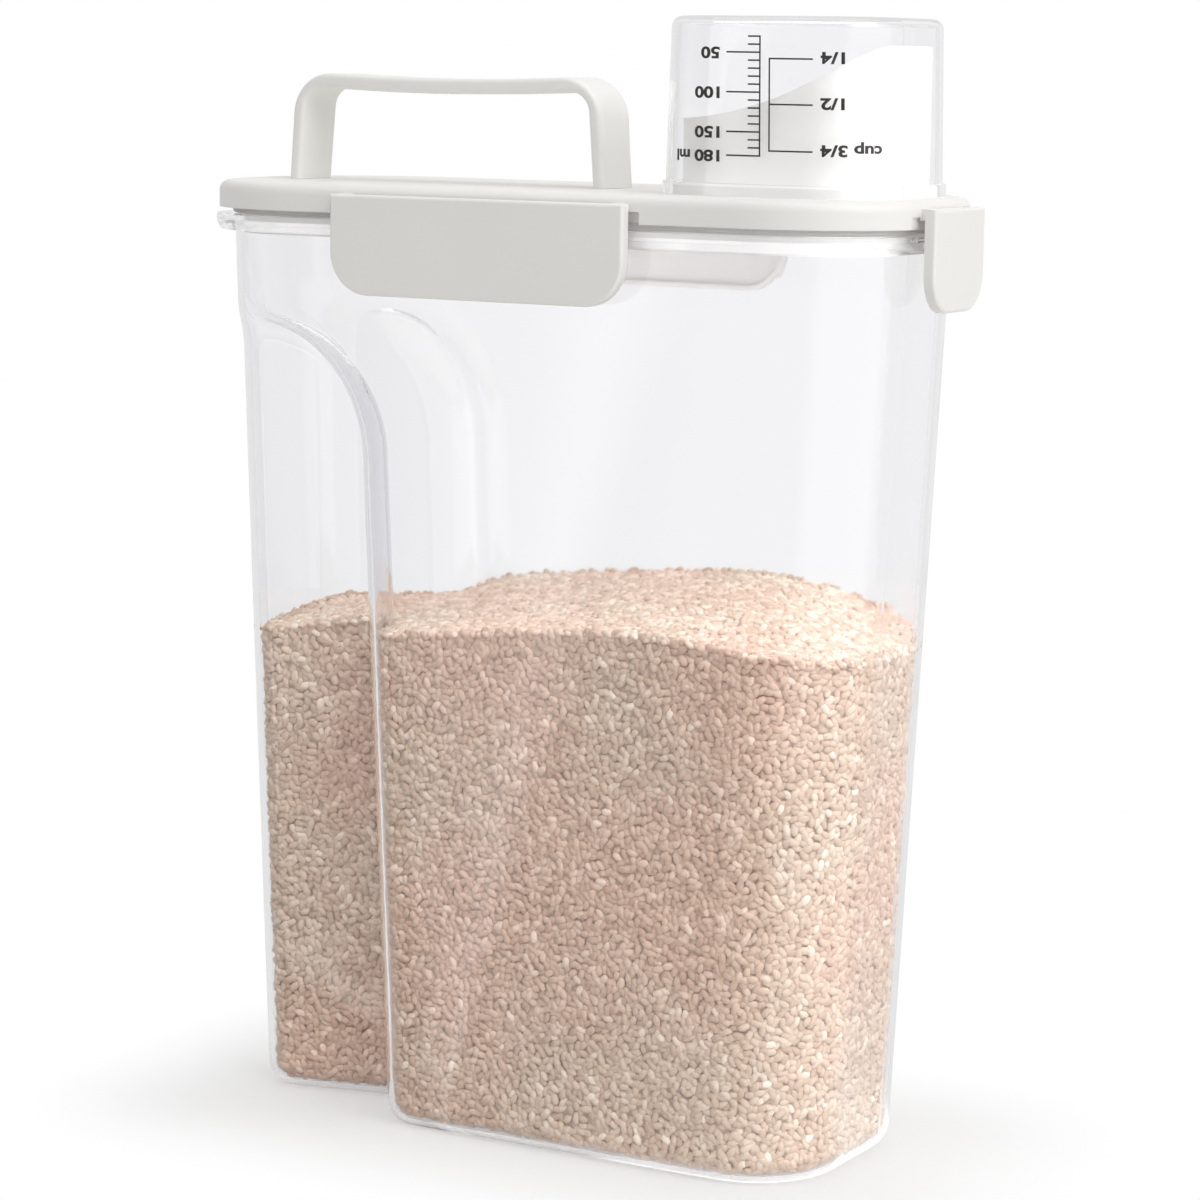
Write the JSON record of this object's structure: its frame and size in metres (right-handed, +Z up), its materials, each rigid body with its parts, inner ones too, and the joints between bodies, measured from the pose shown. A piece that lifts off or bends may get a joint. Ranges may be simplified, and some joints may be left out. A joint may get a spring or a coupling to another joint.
{
  "type": "rice storage container",
  "caption": "Clear hopper with a recessed grip at one end, a clipped lid with strap handle and pour spout, and a measuring cup that caps the spout.",
  "frame": {"origin": "middle of the base, on the surface the container stands on", "axes": "+Z up, +X towards the spout end along the length, -Y towards the front"},
  "size_m": [0.2634, 0.1164, 0.3681],
  "materials": {
    "clear_plastic": "clear moulded plastic, polished",
    "white_plastic": "warm white moulded plastic, satin",
    "white_silicone": "soft silicone, matte",
    "clear_cup_plastic": "clear moulded plastic, polished, with a printed scale"
  },
  "bodies": {
    "container": {"container_body": "clear_plastic"},
    "lid": {"lid": "white_plastic", "handle": "white_plastic", "lid_gasket": "white_silicone", "spout_seal": "white_silicone"},
    "front_clip": {"front_clip": "white_plastic"},
    "back_clip": {"back_clip": "white_plastic"},
    "end_clip": {"end_clip": "white_plastic"},
    "cup": {"measuring_cup": "clear_cup_plastic"}
  },
  "joints": [
    {"name": "lid_lift", "type": "slide", "parent": "container", "child": "lid", "axis": [0, 0, 1], "range_m": [0, 0.03]},
    {"name": "front_clip_hinge", "type": "hinge", "parent": "lid", "child": "front_clip", "pos_m": [-0.0075, -0.0549, 0.3088], "axis": [-1, 0, 0], "range_deg": [0, 85]},
    {"name": "back_clip_hinge", "type": "hinge", "parent": "lid", "child": "back_clip", "pos_m": [-0.0075, 0.0549, 0.3088], "axis": [1, 0, 0], "range_deg": [0, 85]},
    {"name": "end_clip_hinge", "type": "hinge", "parent": "lid", "child": "end_clip", "pos_m": [0.1305, 0, 0.3088], "axis": [0, -1, 0], "range_deg": [0, 85]},
    {"name": "cup_lift", "type": "slide", "parent": "lid", "child": "cup", "axis": [0, 0, 1], "range_m": [0, 0.06]}
  ],
  "couplings": [
    {"joint": "front_clip_hinge", "follows": "lid_lift", "rad_per_m": 49.4},
    {"joint": "back_clip_hinge", "follows": "lid_lift", "rad_per_m": 49.4},
    {"joint": "end_clip_hinge", "follows": "lid_lift", "rad_per_m": 49.4}
  ]
}
